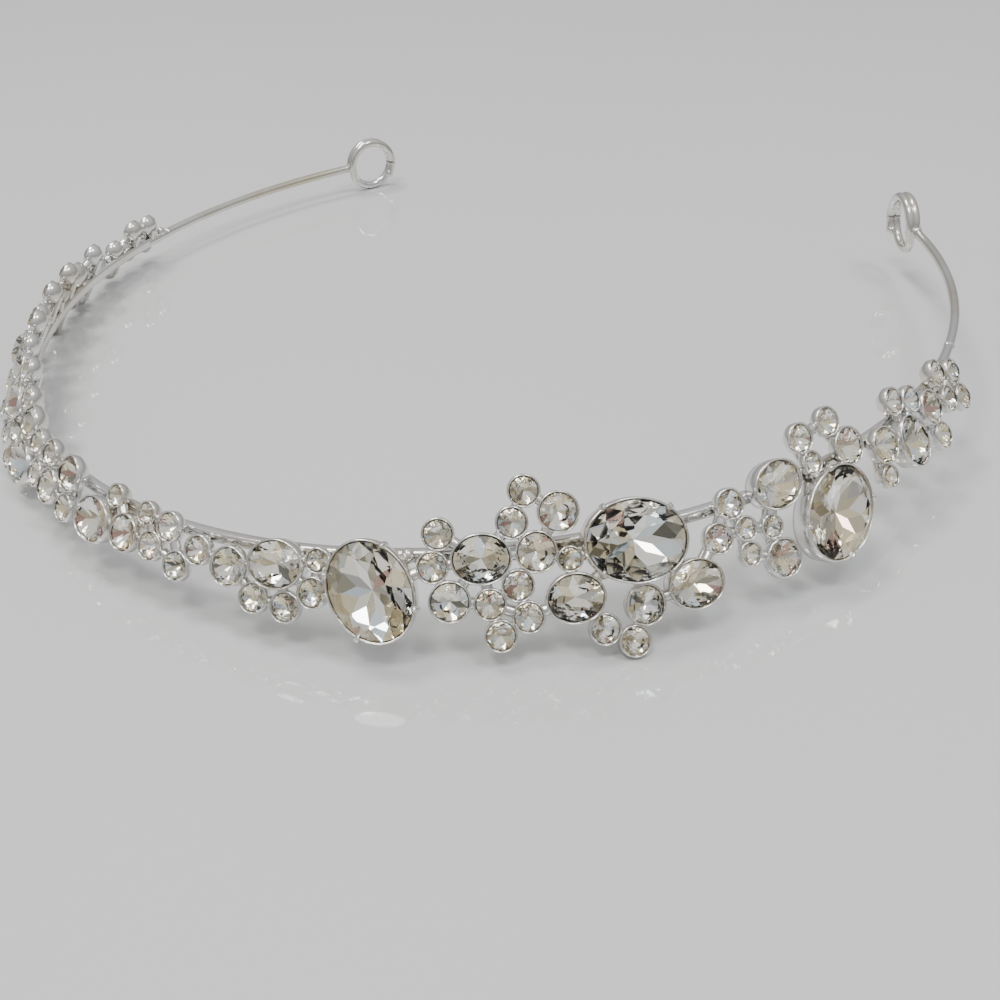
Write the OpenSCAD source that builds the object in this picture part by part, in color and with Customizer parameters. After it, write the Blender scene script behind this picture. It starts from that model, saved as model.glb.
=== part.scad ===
// Bridal headband: a silver-plated C of flat strip and round wire, with open sprays of cut stones
// in thin bezel cups soldered along its outer side and an upright wire loop curled at each end.
// It lies as on a table, on the left loop, the left castings and the lowest casting of the front.

/* [Headband] */
// Radius of the front arc, to the middle of the strip
front_r = 60.2; // [55:0.1:68]
// Radius of each side arc
side_r = 72.9; // [65:0.1:90]
// Radius of each end arc
end_r = 80.8; // [72:0.1:110]
// Half of the band's length, from the middle of the front to a loop's root
half_len = 153.7; // [148:0.1:160]
// Height of the flat strip
strip_w = 1.5; // [1.2:0.1:2]
// Thickness of the flat strip
strip_t = 1.2; // [1:0.1:1.6]
// Diameter of the round wire at the ends
wire_d = 1.4; // [1.1:0.1:1.8]

/* [End loops] */
// Outer diameter of each loop
loop_d = 9.8; // [9.4:0.2:10.4]

/* [Settings] */
// Wall of a cup around its stone
cup_wall = 0.22; // [0.15:0.01:0.4]
// Angle at which the castings look up from level
look_up = 30; // [24:1:34]
// Diameter of the cast bars that join the cups from behind
bar_d = 1.1; // [0.8:0.1:1.3]
// Least space between two cups
cup_space = 0.06; // [0.04:0.01:0.2]

/* [Stones] */
// Space between a stone and its cup
stone_gap = 0.04; // [0.02:0.01:0.08]
// Diameter of the smallest round cup
tiny_d = 2.8; // [2.6:0.1:3]
// Diameter of a small round cup
small_d = 3.5; // [3.3:0.1:3.7]
// Diameter of a medium round cup
medium_d = 4.5; // [4.2:0.1:4.7]
// Width of a medium oval cup
oval_w = 5.5; // [5.2:0.1:5.8]
// Length of a medium oval cup
oval_l = 6.5; // [6.2:0.1:6.8]
// Width of a large oval cup
large_w = 9.2; // [8.6:0.2:9.8]
// Length of a large oval cup
large_l = 11.6; // [11:0.2:12.2]

/* [Resting pose] */
// Angle by which the front lies higher than the loops
lean = 0.67; // [0:0.01:2]
// Angle by which the left side lies lower than the right
roll = 2.74; // [1.5:0.01:3.5]
// Height of the strip's middle above the table at the front
front_z = 8.74; // [8:0.01:10]

/* [Hidden] */
// Distance from the front of the strip to the middle of the object's depth
mid_depth = 58.56;
// Shift of the object's middle along the width
mid_width = 0.62;
front_turn = 29.8;
side_turn = 92.6;
front_len = front_r * front_turn * PI / 180;
side_len = side_r * (side_turn - front_turn) * PI / 180;
end_len = half_len - front_len - side_len;
end_turn = side_turn + end_len / end_r * 180 / PI;
strip_from = -108;
strip_to = 101;
embed = 0.3;
floor_out = 0.6;
bar_out = 0.7;
bar_short = 0.45;
// Angle left between two arcs inside the sleeve or bead that joins them
joint_gap = 0.06;
sleeve_l = 1.6;
sleeve_over = 0.12;
turn_aside = 0.95;
turn_in = 0.05;
turn_from = -35;
turn_to = 215;
ball_d = 1.6;
bead_d = 2.1;
// A round cup is straight for this height below its rim and narrows from there to its back
straight_h = 0.9;
back_share = 0.6;
back_wall = 0.1;
straight_out = 1.5;
rounds = 30;
// How many castings are joined before they go to the band
group_size = 11;
// Where along the band one field of stones ends and the next begins
back_end = -50;
left_end = 18.5;
centre_end = 48.6;

// Places of the stones, read from the photograph. Columns: distance along the band from its middle,
// to the right; height above the strip's middle; size; turn of an oval, against the clock.
ALONG = 0;
UP = 1;
SIZE = 2;
TURN = 3;
T = 0;
S = 1;
M = 2;
O = 3;
L = 4;

LEFT_SPRAY = [
    [-107, 2.2, S, 0], [-107.2, -1.9, S, 0], [-102.9, 2.8, S, 0], [-102.6, -1.2, M, 0],
    [-98.4, 0.6, S, 0], [-98.2, -3.2, S, 0], [-94.2, -1.2, M, 0], [-90.5, 3.5, S, 0], [-90, -0.6, S, 0],
    [-89.6, -4.2, S, 0], [-86, 1.4, M, 0], [-85.4, -2.9, S, 0], [-80.9, 4.4, S, 0], [-80.6, -0.4, O, 92],
    [-80.4, -4.9, S, 0], [-76, 2.4, S, 0], [-75.4, -1.6, S, 0], [-72.6, 4.9, S, 0], [-71.4, 0.6, M, 0],
    [-71, -3.8, M, 0], [-66.8, 3.6, S, 0], [-66, -0.4, S, 0], [-65.6, -4, S, 0], [-61.2, 0.4, O, 88],
    [-61.8, 5, S, 0], [-61, -4.2, S, 0], [-56.6, 3.6, S, 0], [-55.6, -1.6, M, 0], [-54.8, -5.8, S, 0],
    [-52, 2, M, 0], [-50.8, -3, S, 0], [-46.4, -0.4, O, 86], [-47.2, 4.2, S, 0], [-46, -4.9, S, 0],
    [-41.4, 2.4, S, 0], [-40.8, -1.8, M, 0], [-41.2, -6.1, S, 0], [-36.9, 1, M, 0], [-35.4, -4, O, 85],
    [-32.6, 0.2, S, 0], [-30.6, -3.2, S, 0], [-28, 0.6, S, 0], [-26.2, -2.9, M, 0], [-22, 0.4, M, 0],
    [-21.6, -3.8, S, 0], [-15.3, -2.8, O, 88], [-12.6, 1, T, 0], [-9.9, -2.6, M, 0], [-7.2, 0.5, T, 0],
    [-5.8, -2.9, S, 0], [-3.6, -0.1, S, 0], [-1.8, -4.1, S, 0], [0.6, -1.8, S, 0], [4.8, -2.7, M, 0],
    [10.3, -1.6, O, 90], [8.1, -5.5, S, 0], [11.8, -6, S, 0], [14.7, -1, T, 0], [14.9, -4.3, S, 0],
    [20.7, -3.6, L, 28]
];
CENTRE_SPRAY = [
    [27.6, 2.3, S, 0], [26.9, -1.1, S, 0], [32, -0.6, O, 90], [28.5, -4.9, M, 0], [35.5, 2.9, S, 0],
    [37.1, 6.2, S, 0], [40.5, 3.5, M, 0], [38.1, -0.6, M, 0], [41.9, -1.5, T, 0], [35.3, -3.7, S, 0],
    [32.6, -5.5, S, 0], [36.1, -7, S, 0], [33.3, -8.8, S, 0], [41.1, -5.8, O, 90], [48, -0.9, L, 80],
    [48, -8, M, 0], [53.7, -7.1, O, 90], [43.7, -9.7, S, 0], [46.2, -11.4, S, 0]
];
RIGHT_SPRAY = [
    [59.6, 0.2, S, 0], [57.3, -3.1, S, 0], [60.8, -3, T, 0], [60.6, -5.8, T, 0], [64, -4.2, T, 0],
    [64.2, -7.4, M, 0], [65.9, 0.5, O, 100], [71, 3.6, S, 0], [75.5, 4.6, S, 0], [76.9, 0.8, M, 0],
    [71.5, 0.4, T, 0], [72.2, -5.1, L, -48], [82.9, -1.2, M, 0], [82.2, -4.7, T, 0], [87.4, 2.6, S, 0],
    [88, -2.9, O, 0], [90.8, 1.4, S, 0], [94, -1.2, M, 0], [94.4, -5.2, S, 0], [98.8, 1.4, S, 0],
    [99.2, -2.4, S, 0], [103, -0.4, S, 0], [102.9, -4, S, 0]
];
CHART = concat(LEFT_SPRAY, CENTRE_SPRAY, RIGHT_SPRAY);

// Sizes of each kind of stone. Columns: cup width, cup length, depth of the cup's rim from the strip's
// middle, height of the crown, depth of the pavilion, number of table corners, how firmly it keeps its
// place beside others.
CUP_W = 0;
CUP_L = 1;
RIM = 2;
CROWN = 3;
PAVILION = 4;
CORNERS = 5;
HOLD = 6;
KINDS = [
    [tiny_d, tiny_d, 2.2, 0.5, 1.1, 8, 1],
    [small_d, small_d, 2.3, 0.65, 1.2, 8, 2],
    [medium_d, medium_d, 2.5, 0.8, 1.4, 8, 4],
    [oval_w, oval_l, 2.7, 0.95, 1.6, 8, 8],
    [large_w, large_l, 3.4, 1.4, 2.3, 12, 40]
];
// Solder blobs. Columns: distance along the band, height above the strip's middle, diameter.
SOLDER = [
    [-109.6, 0.7, 1.5], [-109.2, -0.7, 1.5], [24.2, 0, 1.8], [53.5, -2.8, 1.5]
];

claw_from = 2.4;
claw_d = 0.8;
girdle_h = 0.2;
rim_lap = 0.2;
pocket_flare = 0.04;

// Direction of the band at a distance along it, turning from the front middle to an end.
function turn_at(s) =
    let (a = abs(s))
    sign(s) * (a < front_len ? a / front_r * 180 / PI
        : a < front_len + side_len ? front_turn + (a - front_len) / side_r * 180 / PI
        : side_turn + (a - front_len - side_len) / end_r * 180 / PI);

// Point reached from p along an arc of radius r from direction t0 to direction t1.
function along_arc(p, r, t0, t1) = [p.x + r * (sin(t1) - sin(t0)), p.y + r * (cos(t0) - cos(t1))];

front_end = along_arc([0, 0], front_r, 0, front_turn);
side_end = along_arc(front_end, side_r, front_turn, side_turn);

// Place of the strip's middle at a distance along the band.
function place_at(s) =
    let (a = abs(s), t = abs(turn_at(s)))
    let (p = a < front_len ? along_arc([0, 0], front_r, 0, t)
        : a < front_len + side_len ? along_arc(front_end, side_r, front_turn, t)
        : along_arc(side_end, end_r, side_turn, t))
    [s < 0 ? -p.x : p.x, p.y];

// Radius of the band's arc at a distance along it.
function arc_at(s) = abs(s) < front_len ? front_r : abs(s) < front_len + side_len ? side_r : end_r;

// Half width of a cup in a direction seen from outside.
function reach(row, direction) =
    let (kind = KINDS[row[SIZE]], a = direction - row[TURN], w = kind[CUP_W] / 2, l = kind[CUP_L] / 2)
    w * l / sqrt(pow(l * cos(a), 2) + pow(w * sin(a), 2));

// Way from one cup to another, round ones measured where they are widest and ovals at their backs. The
// castings look up, so the band's turn spreads them below the strip and crowds them above it.
function way(from, to) =
    let (out = from[SIZE] < O && to[SIZE] < O ? straight_out : embed, up = (from[UP] + to[UP]) / 2)
    let (spread = 1 + (out * cos(look_up) - up * sin(look_up)) / arc_at(from[ALONG]))
    [(to[ALONG] - from[ALONG]) * spread, to[UP] - from[UP]];

// Space between two cups, negative where they would run into each other.
function space(from, to) =
    let (v = way(from, to), a = atan2(v.y, v.x))
    norm(v) - reach(from, a) - reach(to, a);

function sum(list) = len(list) == 0 ? [0, 0] : [for (item = list) 1] * list;

// Push that a cup gets from the ones that crowd it, shared by how firmly each keeps its place.
function push(row, rows) = sum([
    for (other = rows)
        if (other != row && abs(other[ALONG] - row[ALONG]) < 10)
            let (lack = cup_space - space(row, other))
                if (lack > 0)
                    let (v = way(row, other), firm = KINDS[row[SIZE]][HOLD])
                        let (other_firm = KINDS[other[SIZE]][HOLD])
                            -v / norm(v) * lack * other_firm / (firm + other_firm)
]);

// Moves the charted cups apart until each stands clear of the next.
function settled(rows, left) =
    left == 0 ? rows : settled([for (row = rows) let (v = push(row, rows) * 1.05)
        [row[ALONG] + v.x, row[UP] + v.y, row[SIZE], row[TURN]]], left - 1);

ALL = settled(CHART, rounds);
large_rows = [for (row = ALL) if (row[SIZE] == L) row];
oval_rows = [for (row = ALL) if (row[SIZE] == O) row];
medium_rows = [for (row = ALL) if (row[SIZE] == M) row];
own_medium = [for (row = medium_rows) if (row[ALONG] > back_end) row];

// Points of an oval outline.
function oval_points(w, l, n) = [for (i = [0:n - 1]) [w / 2 * cos(i * 360 / n), l / 2 * sin(i * 360 / n)]];

// Puts children in the frame of the band at s: x along the band, y up, z outwards.
module at_band(s) {
    p = place_at(s);
    translate([p.x, p.y, 0]) rotate([0, 0, turn_at(s)]) rotate([90, 0, 0]) children();
}

// Puts children on a stone's axis, z outwards from the strip's middle.
module at_stone(row) {
    at_band(row[ALONG]) rotate([-look_up, 0, 0]) translate([0, row[UP], 0]) rotate([0, 0, row[TURN]])
        children();
}

// Lays the whole object on the table as it rests.
module resting() {
    translate([-mid_width, -mid_depth, front_z]) rotate([-lean, -roll, 0]) children();
}

// Part of the band: a 2D section swept around an arc, for the right side.
module band_arc(r, start, turn, from, to) {
    centre = [start.x - r * sin(turn), start.y + r * cos(turn)];
    translate([centre.x, centre.y, 0]) rotate([0, 0, from - 90]) rotate_extrude(angle = to - from, $fn = 180)
        translate([r, 0]) children();
}

module strip_section() {
    square([strip_t, strip_w], center = true);
}

module wire_section() {
    circle(d = wire_d, $fn = 24);
}

// One half of the band, up to strip_end along it in flat strip and from there in round wire. The arcs
// are soldered end to end, the strip in a thin sleeve and the wire in a bead.
module band_half(strip_end) {
    strip_turn = turn_at(strip_end);
    band_arc(front_r, [0, 0], 0, 0, front_turn - joint_gap) strip_section();
    band_arc(side_r, front_end, front_turn, front_turn + joint_gap, strip_turn) strip_section();
    at_band(front_len) cube([sleeve_l, strip_w + sleeve_over, strip_t + sleeve_over], center = true);
    band_arc(side_r, front_end, front_turn, turn_at(strip_end - 2), side_turn - joint_gap) wire_section();
    band_arc(end_r, side_end, side_turn, side_turn + joint_gap, end_turn) wire_section();
    at_band(front_len + side_len) sphere(d = wire_d + 0.2, $fn = 24);
}

// Loop curled from the wire's end: a ring in the plane of the band's run and the upright, with a second
// turn beside it on the inner side that ends in a small ball, and a solder bead at its root.
module end_loop(side) {
    ring_r = (loop_d - wire_d) / 2;
    mirror([side > 0 ? 0 : 1, 0, 0]) at_band(half_len) translate([ring_r, 0, 0]) {
        rotate_extrude($fn = 96) translate([ring_r, 0]) circle(d = wire_d, $fn = 24);
        translate([0, 0, -turn_aside]) {
            rotate_extrude(angle = turn_to - turn_from, start = turn_from, $fn = 96)
                translate([ring_r - turn_in, 0]) circle(d = wire_d, $fn = 24);
            rotate([0, 0, turn_from]) translate([ring_r - turn_in, 0, 0]) sphere(d = ball_d, $fn = 24);
        }
        translate([-ring_r, 0, 0]) sphere(d = bead_d, $fn = 24);
    }
}

// Solder left on the bare strip and between two castings, and the small beads that end the left spray.
module solder() {
    for (blob = SOLDER)
        at_band(blob[ALONG]) rotate([-look_up, 0, 0]) translate([0, blob[UP], embed])
            sphere(d = blob[SIZE], $fn = 20);
}

// Outside of a cup: a round one narrows to its back, an oval one is straight.
module cup_body(row) {
    kind = KINDS[row[SIZE]];
    r = kind[CUP_W] / 2;
    at_stone(row)
        if (row[SIZE] < O)
            rotate_extrude($fn = 40) polygon([[0, embed], [r * back_share, embed],
                [r, kind[RIM] - straight_h], [r, kind[RIM]], [0, kind[RIM]]]);
        else translate([0, 0, embed]) linear_extrude(kind[RIM] - embed)
            polygon(oval_points(kind[CUP_W], kind[CUP_L], 32));
}

// Hollow of a cup, open at the rim.
module cup_pocket(row) {
    kind = KINDS[row[SIZE]];
    r = kind[CUP_W] / 2;
    inner = r - cup_wall;
    at_stone(row)
        if (row[SIZE] < O)
            rotate_extrude($fn = 40) polygon([[0, floor_out], [r * back_share - back_wall, floor_out],
                [inner, kind[RIM] - straight_h], [inner + pocket_flare, kind[RIM] + 1], [0, kind[RIM] + 1]]);
        else translate([0, 0, floor_out]) linear_extrude(kind[RIM])
            polygon(oval_points(kind[CUP_W] - 2 * cup_wall, kind[CUP_L] - 2 * cup_wall, 32));
}

// Point on a stone's axis, outwards from the strip's middle by depth.
function spot(row, depth) =
    let (p = place_at(row[ALONG]), a = turn_at(row[ALONG]))
    let (out = depth * cos(look_up) - row[UP] * sin(look_up))
    [p.x + out * sin(a), p.y - out * cos(a), row[UP] * cos(look_up) + depth * sin(look_up)];

// Cups that stand nearer to the strip than this one, nearest way first in the list's order.
function inner_ways(row) = [
    for (other = ALL)
        if (abs(other[UP]) < abs(row[UP]) - 0.5 && abs(other[ALONG] - row[ALONG]) < 8)
            [space(row, other), other]
];

function nearest(ways) =
    let (least = min([for (w = ways) w[0]])) [for (w = ways) if (w[0] == least) w[1]][0];

// Whether a cup lies over the strip itself.
function on_strip(row) = abs(row[UP]) < reach(row, 90) - 0.2;

// Cast bar from the back of a cup into the back of the nearest cup further in, or to the strip.
module bar(row) {
    ways = [for (w = inner_ways(row)) if (w[0] < abs(row[UP]) - reach(row, 90)) w];
    goal = len(ways) > 0 ? nearest(ways) : [row[ALONG], 0, S, 0];
    v = spot(goal, bar_out) - spot(row, bar_out);
    length = norm(v) - (len(ways) > 0 ? bar_short * reach(goal, 90) : 0);
    if (!on_strip(row))
        translate(spot(row, bar_out)) rotate([0, acos(v.z / norm(v)), atan2(v.y, v.x)])
            cylinder(d = bar_d, h = length, $fn = 16);
}

// Four claws over the rim of a large oval.
module claws(row) {
    kind = KINDS[L];
    for (a = [40, 140, 220, 320])
        at_stone(row) translate([kind[CUP_W] / 2 * cos(a), kind[CUP_L] / 2 * sin(a), claw_from]) {
            cylinder(d = claw_d, h = kind[RIM] - claw_from, $fn = 16);
            translate([0, 0, kind[RIM] - claw_from]) sphere(d = claw_d * 1.15, $fn = 16);
        }
}

module silver_frame() {
    color("silver") resting() difference() {
        union() {
            band_half(strip_to);
            mirror([1, 0, 0]) band_half(-strip_from);
            for (side = [-1, 1]) end_loop(side);
            for (first = [0:group_size:len(ALL) - 1]) union() {
                for (i = [first:min(first + group_size, len(ALL)) - 1]) {
                    cup_body(ALL[i]);
                    bar(ALL[i]);
                }
            }
            for (row = large_rows) claws(row);
            solder();
        }
        for (row = ALL) cup_pocket(row);
    }
}

// Cut stone on a stone's axis: table, crown in two rows, girdle and pointed pavilion.
module cut_stone(row) {
    kind = KINDS[row[SIZE]];
    n = kind[CORNERS];
    w = kind[CUP_W] - 2 * (cup_wall + stone_gap);
    l = kind[CUP_L] - 2 * (cup_wall + stone_gap);
    girdle_z = kind[RIM] - rim_lap;
    table_share = row[SIZE] == L ? 0.5 : 0.56;
    pavilion_share = 0.55;
    table_z = girdle_z + kind[CROWN];
    table = [for (p = oval_points(table_share * w, table_share * l, n)) [p.x, p.y, table_z]];
    upper = [for (p = oval_points(w, l, 2 * n)) [p.x, p.y, girdle_z]];
    lower = [for (p = oval_points(w, l, 2 * n)) [p.x, p.y, girdle_z - girdle_h]];
    mid_z = girdle_z - girdle_h - kind[PAVILION] * pavilion_share;
    mid = [for (p = oval_points(pavilion_share * w, pavilion_share * l, n)) [p.x, p.y, mid_z]];
    tip = [0, 0, girdle_z - girdle_h - kind[PAVILION]];
    points = concat(table, upper, lower, mid, [tip]);
    t = 0;
    u = n;
    g = 3 * n;
    m = 5 * n;
    k = 6 * n;
    faces = concat(
        [[for (i = [n - 1:-1:0]) t + i]],
        [for (i = [0:n - 1]) [t + i, t + (i + 1) % n, u + 2 * i + 1]],
        [for (i = [0:n - 1]) [t + i, u + 2 * i, u + (2 * i + 2 * n - 1) % (2 * n)]],
        [for (i = [0:n - 1]) [t + i, u + 2 * i + 1, u + 2 * i]],
        [for (i = [0:2 * n - 1]) [u + i, u + (i + 1) % (2 * n), g + (i + 1) % (2 * n), g + i]],
        [for (i = [0:n - 1]) [m + i, g + 2 * i + 1, m + (i + 1) % n]],
        [for (i = [0:n - 1]) [m + i, g + (2 * i + 2 * n - 1) % (2 * n), g + 2 * i]],
        [for (i = [0:n - 1]) [m + i, g + 2 * i, g + 2 * i + 1]],
        [for (i = [0:n - 1]) [k, m + i, m + (i + 1) % n]]
    );
    at_stone(row) polyhedron(points, faces, convexity = 2);
}

module one_stone(row) {
    color("whitesmoke") resting() cut_stone(row);
}

module stone_field(rows) {
    color("gainsboro") resting() for (row = rows) cut_stone(row);
}

module left_back_stones() {
    stone_field([for (row = ALL) if (row[SIZE] < O && row[ALONG] < back_end) row]);
}

module left_small_stones() {
    stone_field([for (row = ALL)
        if (row[ALONG] > back_end && row[ALONG] < left_end && row[SIZE] < M) row]);
}

module centre_small_stones() {
    stone_field([for (row = ALL)
        if (row[ALONG] > left_end && row[ALONG] < centre_end && row[SIZE] < M) row]);
}

module right_small_stones() {
    stone_field([for (row = ALL) if (row[ALONG] > centre_end && row[SIZE] < M) row]);
}

silver_frame();
for (i = [1:len(large_rows)])
    one_stone(large_rows[i - 1]);
for (i = [1:len(oval_rows)])
    one_stone(oval_rows[i - 1]);
for (i = [1:len(own_medium)])
    one_stone(own_medium[i - 1]);
left_back_stones();
left_small_stones();
centre_small_stones();
right_small_stones();
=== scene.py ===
import math
from collections import namedtuple

import bmesh
import bpy
from mathutils import Matrix, Vector


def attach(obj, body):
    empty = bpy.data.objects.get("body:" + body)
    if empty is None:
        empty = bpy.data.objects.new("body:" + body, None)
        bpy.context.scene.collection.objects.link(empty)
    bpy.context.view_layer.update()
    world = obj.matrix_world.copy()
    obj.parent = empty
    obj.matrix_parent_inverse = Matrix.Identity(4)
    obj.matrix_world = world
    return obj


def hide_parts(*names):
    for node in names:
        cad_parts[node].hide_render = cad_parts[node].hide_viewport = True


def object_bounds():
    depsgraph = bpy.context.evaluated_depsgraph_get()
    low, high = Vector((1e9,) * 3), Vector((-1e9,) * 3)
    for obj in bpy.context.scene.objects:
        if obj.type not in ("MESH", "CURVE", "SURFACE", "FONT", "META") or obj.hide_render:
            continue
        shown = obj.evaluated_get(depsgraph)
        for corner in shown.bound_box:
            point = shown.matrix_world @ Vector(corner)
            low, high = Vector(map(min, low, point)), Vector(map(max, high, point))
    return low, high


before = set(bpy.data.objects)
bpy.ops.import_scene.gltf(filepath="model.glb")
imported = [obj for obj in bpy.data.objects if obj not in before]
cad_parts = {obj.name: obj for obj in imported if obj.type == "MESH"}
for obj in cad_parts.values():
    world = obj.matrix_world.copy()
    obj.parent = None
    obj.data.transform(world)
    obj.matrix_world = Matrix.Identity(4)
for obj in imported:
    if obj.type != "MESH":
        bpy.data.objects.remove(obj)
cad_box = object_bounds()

# Headband: one silver-plated C. Its front and sides are flat strip with rounded edges, bent in three
# arcs on each side, with a soldered joint where the arcs meet. It lies tilted a little to its left.
# Sizes are in millimetres, and RESTING lays a finished piece into the row's frame.
FRONT_R, SIDE_R, END_R = 60.2, 72.9, 80.8
FRONT_TURN, SIDE_TURN = math.radians(29.8), math.radians(92.6)
HALF_LEN = 153.7
STRIP_FROM, STRIP_TO = -108.0, 101.0
STRIP_W, STRIP_T = 1.5, 1.2
STRIP_ROUNDING = 0.35
STEP = 1.0
LEAN, ROLL = math.radians(0.67), math.radians(2.74)
FRONT_Z, MID_DEPTH, MID_WIDTH = 8.74, 58.56, 0.62
MM = 0.001
FRONT_LEN = FRONT_R * FRONT_TURN
SIDE_LEN = SIDE_R * (SIDE_TURN - FRONT_TURN)
RESTING = (Matrix.Scale(MM, 4) @ Matrix.Translation((-MID_WIDTH, -MID_DEPTH, FRONT_Z))
           @ Matrix.Rotation(-ROLL, 4, "Y") @ Matrix.Rotation(-LEAN, 4, "X"))


def along_arc(start, radius, turn, end_turn):
    """End of an arc that starts at a point and bends from one direction to another."""
    return (start[0] + radius * (math.sin(end_turn) - math.sin(turn)),
            start[1] + radius * (math.cos(turn) - math.cos(end_turn)))


FRONT_END = along_arc((0, 0), FRONT_R, 0, FRONT_TURN)
SIDE_END = along_arc(FRONT_END, SIDE_R, FRONT_TURN, SIDE_TURN)


def band_turn(along):
    """Direction of the band at a distance along it from the front's middle, as an angle."""
    far = abs(along)
    if far < FRONT_LEN:
        turn = far / FRONT_R
    elif far < FRONT_LEN + SIDE_LEN:
        turn = FRONT_TURN + (far - FRONT_LEN) / SIDE_R
    else:
        turn = SIDE_TURN + (far - FRONT_LEN - SIDE_LEN) / END_R
    return math.copysign(turn, along)


def band_place(along):
    """Middle of the band at a distance along it, in the band's own flat frame."""
    turn = abs(band_turn(along))
    if turn < FRONT_TURN:
        x, y = along_arc((0, 0), FRONT_R, 0, turn)
    elif turn < SIDE_TURN:
        x, y = along_arc(FRONT_END, SIDE_R, FRONT_TURN, turn)
    else:
        x, y = along_arc(SIDE_END, END_R, SIDE_TURN, turn)
    return Vector((math.copysign(x, along), y, 0))


class Graph:
    """A node tree in the making. node() makes a node, sets its settings and then its sockets."""

    def __init__(self, tree):
        self.tree = tree

    def node(self, kind, settings=None, sockets=None):
        made = self.tree.nodes.new(kind)
        for name, value in (settings or {}).items():
            if name == "stops":
                for position, colour in value[len(made.color_ramp.elements):]:
                    made.color_ramp.elements.new(position)
                for stop, (position, colour) in zip(made.color_ramp.elements, value):
                    stop.position, stop.color = position, (*colour, 1)
            else:
                setattr(made, name, value)
        for key, value in (sockets or {}).items():
            if isinstance(value, Number):
                value = value.socket
            if isinstance(value, bpy.types.Node):
                value = value.outputs[0]
            if isinstance(value, bpy.types.NodeSocket):
                self.tree.links.new(value, made.inputs[key])
            else:
                made.inputs[key].default_value = value
        return made

    def number(self, kind, settings=None, sockets=None):
        return Number(self, self.node(kind, settings, sockets).outputs[0])


class Number:
    """A number that a shader node gives, with the operators that the materials' formulas use."""

    def __init__(self, graph, socket):
        self.graph, self.socket = graph, socket

    def maths(self, operation, first, second, clamp=False):
        return self.graph.number("ShaderNodeMath", {"operation": operation, "use_clamp": clamp},
                                 {0: first, 1: second})

    def __add__(self, other):
        return self.maths("ADD", self, other)

    def __radd__(self, other):
        return self.maths("ADD", other, self)

    def __sub__(self, other):
        return self.maths("SUBTRACT", self, other)

    def __rsub__(self, other):
        return self.maths("SUBTRACT", other, self)

    def __mul__(self, other):
        return self.maths("MULTIPLY", self, other)

    def __rmul__(self, other):
        return self.maths("MULTIPLY", other, self)

    def above(self, level, softness):
        """0 below the level, 1 above it, with a soft step between."""
        return self.maths("ADD", (self - level) * (0.5 / softness), 0.5, clamp=True)


def new_material(name):
    """An empty material with the graph of its nodes and its shader."""
    material = bpy.data.materials.new(name)
    material.use_nodes = True
    graph = Graph(material.node_tree)
    shader = next(n for n in material.node_tree.nodes if n.type == "BSDF_PRINCIPLED")
    return material, graph, shader


def set_sockets(graph, shader, sockets):
    """Gives a shader's sockets their constants and links."""
    for name, value in sockets.items():
        if isinstance(value, Number):
            value = value.socket
        if isinstance(value, bpy.types.NodeSocket):
            graph.tree.links.new(value, shader.inputs[name])
        else:
            shader.inputs[name].default_value = value


BRIGHT_SILVER = (0.78, 0.775, 0.765)
WARM_TARNISH = (0.62, 0.55, 0.42)
CLOUD_SCALE, SPECK_SCALE, SKIN_SCALE = 70.0, 1400.0, 700.0
SKIN_HEIGHT = 0.00006
SKIN_SHARE, SPECK_SHARE = 0.7, 0.3
# Where noise turns to tarnish and to specks. Columns: level, softness.
TARNISH_EDGE, SPECK_EDGE = (0.52, 0.12), (0.6, 0.1)
TARNISH_DULLNESS, SPECK_DULLNESS = 0.12, 0.05


def silver_plate(name, tarnish, roughness, bumps):
    """Silver plate over cast or drawn metal: warm tarnish in clouds, dull specks and a fine uneven skin."""
    material, graph, shader = new_material(name)
    place = graph.node("ShaderNodeTexCoord").outputs["Object"]
    clouds = graph.number("ShaderNodeTexNoise", {}, {"Vector": place, "Scale": CLOUD_SCALE, "Detail": 3.0})
    specks = graph.number("ShaderNodeTexNoise", {}, {"Vector": place, "Scale": SPECK_SCALE, "Detail": 2.0})
    skin = graph.number("ShaderNodeTexNoise", {}, {"Vector": place, "Scale": SKIN_SCALE, "Detail": 3.0})
    dull = clouds.above(*TARNISH_EDGE) * tarnish
    colour = graph.node("ShaderNodeMix", {"data_type": "RGBA"},
                        {0: dull, 6: (*BRIGHT_SILVER, 1), 7: (*WARM_TARNISH, 1)}).outputs[2]
    bump = graph.node("ShaderNodeBump", {}, {
        "Strength": bumps, "Distance": SKIN_HEIGHT, "Height": skin * SKIN_SHARE + specks * SPECK_SHARE})
    set_sockets(graph, shader, {
        "Base Color": colour,
        "Metallic": 1.0,
        "Roughness": roughness + specks.above(*SPECK_EDGE) * SPECK_DULLNESS + dull * TARNISH_DULLNESS,
        "Normal": bump.outputs[0],
    })
    return material


def geometry_tree(name, inputs):
    """A Geometry Nodes tree with a mesh going in, the named inputs, and a mesh coming out."""
    tree = bpy.data.node_groups.new(name, "GeometryNodeTree")
    tree.interface.new_socket("Geometry", in_out="INPUT", socket_type="NodeSocketGeometry")
    tree.interface.new_socket("Geometry", in_out="OUTPUT", socket_type="NodeSocketGeometry")
    for label, kind in inputs.items():
        tree.interface.new_socket(label, in_out="INPUT", socket_type=kind)
    graph = Graph(tree)
    return graph, graph.node("NodeGroupInput").outputs


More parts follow.
